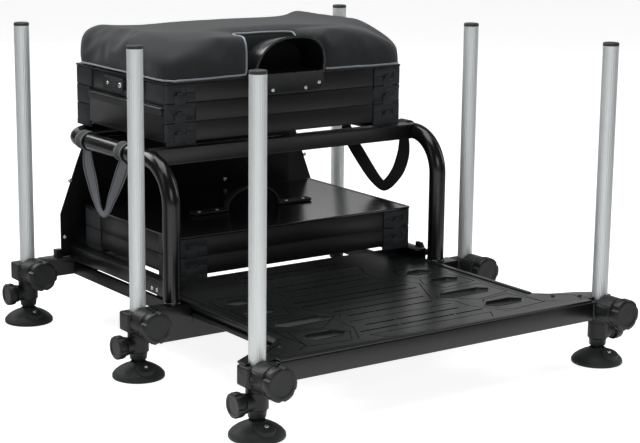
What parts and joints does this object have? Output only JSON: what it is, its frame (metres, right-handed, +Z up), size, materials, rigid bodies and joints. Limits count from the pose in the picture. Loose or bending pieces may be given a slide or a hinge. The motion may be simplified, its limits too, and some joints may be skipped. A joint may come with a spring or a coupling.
{
  "type": "fishing seat box",
  "caption": "Free-standing angler's seat box: padded seat on stacked trays, tubular frame, sliding footplate and clamped telescopic legs on mud feet.",
  "frame": {"origin": "on the ground, under the middle of the whole box's footprint", "axes": "+X to the right of the angler's feet seen from the footplate side, +Y from footplate to seat back, +Z up"},
  "size_m": [0.736, 0.823, 0.515],
  "materials": {
    "frame_paint": "gloss black powder coat",
    "casting_paint": "satin black casting",
    "deck_coat": "satin black textured coat",
    "rail_anodised": "dark anodised extrusion",
    "leg_metal": "ribbed bright aluminium tube",
    "knob_plastic": "moulded black nylon",
    "foot_rubber": "black moulded rubber",
    "black_plastic": "satin black moulding",
    "gloss_plastic": "polished black",
    "scoop_plastic": "satin black moulding",
    "handle_rubber": "black strap grip",
    "seat_cover": "dark coated cloth with grey piping",
    "strap_webbing": "woven webbing"
  },
  "bodies": {
    "base": {"base_frame": "frame_paint", "seat_frame_tube": "frame_paint", "frame_cross_bar": "frame_paint", "back_panel": "frame_paint", "cassette_rail_right": "frame_paint", "cassette_rail_left": "frame_paint", "drawer_module": "black_plastic", "top_tray": "black_plastic", "strap_right": "strap_webbing", "strap_left": "strap_webbing", "mid_left_corner_casting": "casting_paint", "mid_right_corner_casting": "casting_paint", "rear_left_corner_casting": "casting_paint", "rear_right_corner_casting": "casting_paint"},
    "footplate": {"front_rail": "frame_paint", "slide_rail_right": "rail_anodised", "slide_rail_left": "rail_anodised", "footplate_deck": "deck_coat", "front_left_corner_casting": "casting_paint", "front_right_corner_casting": "casting_paint"},
    "cassette": {"lower_cassette": "black_plastic"},
    "cassette_cover": {"cassette_lid": "gloss_plastic", "cassette_handle": "handle_rubber"},
    "cassette_catch": {"cassette_latch": "black_plastic"},
    "drawer": {"side_drawer": "black_plastic"},
    "tray_clip": {"tray_latch": "black_plastic"},
    "seat": {"seat_lid": "black_plastic", "cushion": "seat_cover", "pole_scoop": "scoop_plastic"},
    "front_left_leg_unit": {"front_left_leg": "leg_metal", "front_left_foot_collar": "casting_paint"},
    "front_left_clamp": {"front_left_clamp_knob": "knob_plastic"},
    "front_left_foot_clamp": {"front_left_foot_knob": "knob_plastic"},
    "front_left_foot": {"front_left_mud_foot": "foot_rubber"},
    "front_right_leg_unit": {"front_right_leg": "leg_metal", "front_right_foot_collar": "casting_paint"},
    "front_right_clamp": {"front_right_clamp_knob": "knob_plastic"},
    "front_right_foot_clamp": {"front_right_foot_knob": "knob_plastic"},
    "front_right_foot": {"front_right_mud_foot": "foot_rubber"},
    "mid_left_leg_unit": {"mid_left_leg": "leg_metal", "mid_left_foot_collar": "casting_paint"},
    "mid_left_clamp": {"mid_left_clamp_knob": "knob_plastic"},
    "mid_left_foot_clamp": {"mid_left_foot_knob": "knob_plastic"},
    "mid_left_foot": {"mid_left_mud_foot": "foot_rubber"},
    "mid_right_leg_unit": {"mid_right_leg": "leg_metal", "mid_right_foot_collar": "casting_paint"},
    "mid_right_clamp": {"mid_right_clamp_knob": "knob_plastic"},
    "mid_right_foot_clamp": {"mid_right_foot_knob": "knob_plastic"},
    "mid_right_foot": {"mid_right_mud_foot": "foot_rubber"},
    "rear_left_leg_unit": {"rear_left_leg": "leg_metal", "rear_left_foot_collar": "casting_paint"},
    "rear_left_clamp": {"rear_left_clamp_knob": "knob_plastic"},
    "rear_left_foot_clamp": {"rear_left_foot_knob": "knob_plastic"},
    "rear_left_foot": {"rear_left_mud_foot": "foot_rubber"},
    "rear_right_leg_unit": {"rear_right_leg": "leg_metal", "rear_right_foot_collar": "casting_paint"},
    "rear_right_clamp": {"rear_right_clamp_knob": "knob_plastic"},
    "rear_right_foot_clamp": {"rear_right_foot_knob": "knob_plastic"},
    "rear_right_foot": {"rear_right_mud_foot": "foot_rubber"}
  },
  "joints": [
    {"name": "footplate_slide", "type": "slide", "parent": "base", "child": "footplate", "axis": [0, 1, 0], "range_m": [0, 0.23]},
    {"name": "cassette_slide", "type": "slide", "parent": "base", "child": "cassette", "axis": [0, -1, 0], "range_m": [0, 0.26]},
    {"name": "cassette_lid_hinge", "type": "hinge", "parent": "cassette", "child": "cassette_cover", "pos_m": [0, 0.3365, 0.1973], "axis": [-1, 0, 0], "range_deg": [0, 18]},
    {"name": "cassette_latch_turn", "type": "hinge", "parent": "base", "child": "cassette_catch", "pos_m": [0.2561, 0.018, 0.1212], "axis": [1, 0, 0], "range_deg": [0, 40]},
    {"name": "drawer_slide", "type": "slide", "parent": "base", "child": "drawer", "axis": [-1, 0, 0], "range_m": [0, 0.3]},
    {"name": "tray_latch_turn", "type": "hinge", "parent": "base", "child": "tray_clip", "pos_m": [-0.2365, 0.1915, 0.424], "axis": [1, 0, 0], "range_deg": [0, 40]},
    {"name": "seat_hinge", "type": "hinge", "parent": "base", "child": "seat", "pos_m": [0, 0.361, 0.4412], "axis": [-1, 0, 0], "range_deg": [0, 95]},
    {"name": "front_left_leg_slide", "type": "slide", "parent": "footplate", "child": "front_left_leg_unit", "axis": [0, 0, 1], "range_m": [-0.4, 0]},
    {"name": "front_left_clamp_turn", "type": "hinge", "parent": "footplate", "child": "front_left_clamp", "pos_m": [-0.327, -0.3915, 0.091], "axis": [0, -1, 0], "range_deg": [0, 360]},
    {"name": "front_left_foot_clamp_turn", "type": "hinge", "parent": "front_left_leg_unit", "child": "front_left_foot_clamp", "pos_m": [-0.352, -0.3475, 0.052], "axis": [-1, 0, 0], "range_deg": [0, 360]},
    {"name": "front_left_foot_tilt", "type": "hinge", "parent": "front_left_leg_unit", "child": "front_left_foot", "pos_m": [-0.327, -0.3475, 0.018], "axis": [1, 0, 0], "range_deg": [-15, 15]},
    {"name": "front_right_leg_slide", "type": "slide", "parent": "footplate", "child": "front_right_leg_unit", "axis": [0, 0, 1], "range_m": [-0.4, 0]},
    {"name": "front_right_clamp_turn", "type": "hinge", "parent": "footplate", "child": "front_right_clamp", "pos_m": [0.327, -0.3915, 0.091], "axis": [0, -1, 0], "range_deg": [0, 360]},
    {"name": "front_right_foot_clamp_turn", "type": "hinge", "parent": "front_right_leg_unit", "child": "front_right_foot_clamp", "pos_m": [0.352, -0.3475, 0.052], "axis": [1, 0, 0], "range_deg": [0, 360]},
    {"name": "front_right_foot_tilt", "type": "hinge", "parent": "front_right_leg_unit", "child": "front_right_foot", "pos_m": [0.327, -0.3475, 0.018], "axis": [1, 0, 0], "range_deg": [-15, 15]},
    {"name": "mid_left_leg_slide", "type": "slide", "parent": "base", "child": "mid_left_leg_unit", "axis": [0, 0, 1], "range_m": [-0.4, 0]},
    {"name": "mid_left_clamp_turn", "type": "hinge", "parent": "base", "child": "mid_left_clamp", "pos_m": [-0.327, -0.0565, 0.091], "axis": [0, -1, 0], "range_deg": [0, 360]},
    {"name": "mid_left_foot_clamp_turn", "type": "hinge", "parent": "mid_left_leg_unit", "child": "mid_left_foot_clamp", "pos_m": [-0.352, -0.0125, 0.052], "axis": [-1, 0, 0], "range_deg": [0, 360]},
    {"name": "mid_left_foot_tilt", "type": "hinge", "parent": "mid_left_leg_unit", "child": "mid_left_foot", "pos_m": [-0.327, -0.0125, 0.018], "axis": [1, 0, 0], "range_deg": [-15, 15]},
    {"name": "mid_right_leg_slide", "type": "slide", "parent": "base", "child": "mid_right_leg_unit", "axis": [0, 0, 1], "range_m": [-0.4, 0]},
    {"name": "mid_right_clamp_turn", "type": "hinge", "parent": "base", "child": "mid_right_clamp", "pos_m": [0.327, -0.0565, 0.091], "axis": [0, -1, 0], "range_deg": [0, 360]},
    {"name": "mid_right_foot_clamp_turn", "type": "hinge", "parent": "mid_right_leg_unit", "child": "mid_right_foot_clamp", "pos_m": [0.352, -0.0125, 0.052], "axis": [1, 0, 0], "range_deg": [0, 360]},
    {"name": "mid_right_foot_tilt", "type": "hinge", "parent": "mid_right_leg_unit", "child": "mid_right_foot", "pos_m": [0.327, -0.0125, 0.018], "axis": [1, 0, 0], "range_deg": [-15, 15]},
    {"name": "rear_left_leg_slide", "type": "slide", "parent": "base", "child": "rear_left_leg_unit", "axis": [0, 0, 1], "range_m": [-0.4, 0]},
    {"name": "rear_left_clamp_turn", "type": "hinge", "parent": "base", "child": "rear_left_clamp", "pos_m": [-0.327, 0.3265, 0.091], "axis": [0, -1, 0], "range_deg": [0, 360]},
    {"name": "rear_left_foot_clamp_turn", "type": "hinge", "parent": "rear_left_leg_unit", "child": "rear_left_foot_clamp", "pos_m": [-0.352, 0.3705, 0.052], "axis": [-1, 0, 0], "range_deg": [0, 360]},
    {"name": "rear_left_foot_tilt", "type": "hinge", "parent": "rear_left_leg_unit", "child": "rear_left_foot", "pos_m": [-0.327, 0.3705, 0.018], "axis": [1, 0, 0], "range_deg": [-15, 15]},
    {"name": "rear_right_leg_slide", "type": "slide", "parent": "base", "child": "rear_right_leg_unit", "axis": [0, 0, 1], "range_m": [-0.4, 0]},
    {"name": "rear_right_clamp_turn", "type": "hinge", "parent": "base", "child": "rear_right_clamp", "pos_m": [0.327, 0.3265, 0.091], "axis": [0, -1, 0], "range_deg": [0, 360]},
    {"name": "rear_right_foot_clamp_turn", "type": "hinge", "parent": "rear_right_leg_unit", "child": "rear_right_foot_clamp", "pos_m": [0.352, 0.3705, 0.052], "axis": [1, 0, 0], "range_deg": [0, 360]},
    {"name": "rear_right_foot_tilt", "type": "hinge", "parent": "rear_right_leg_unit", "child": "rear_right_foot", "pos_m": [0.327, 0.3705, 0.018], "axis": [1, 0, 0], "range_deg": [-15, 15]}
  ]
}
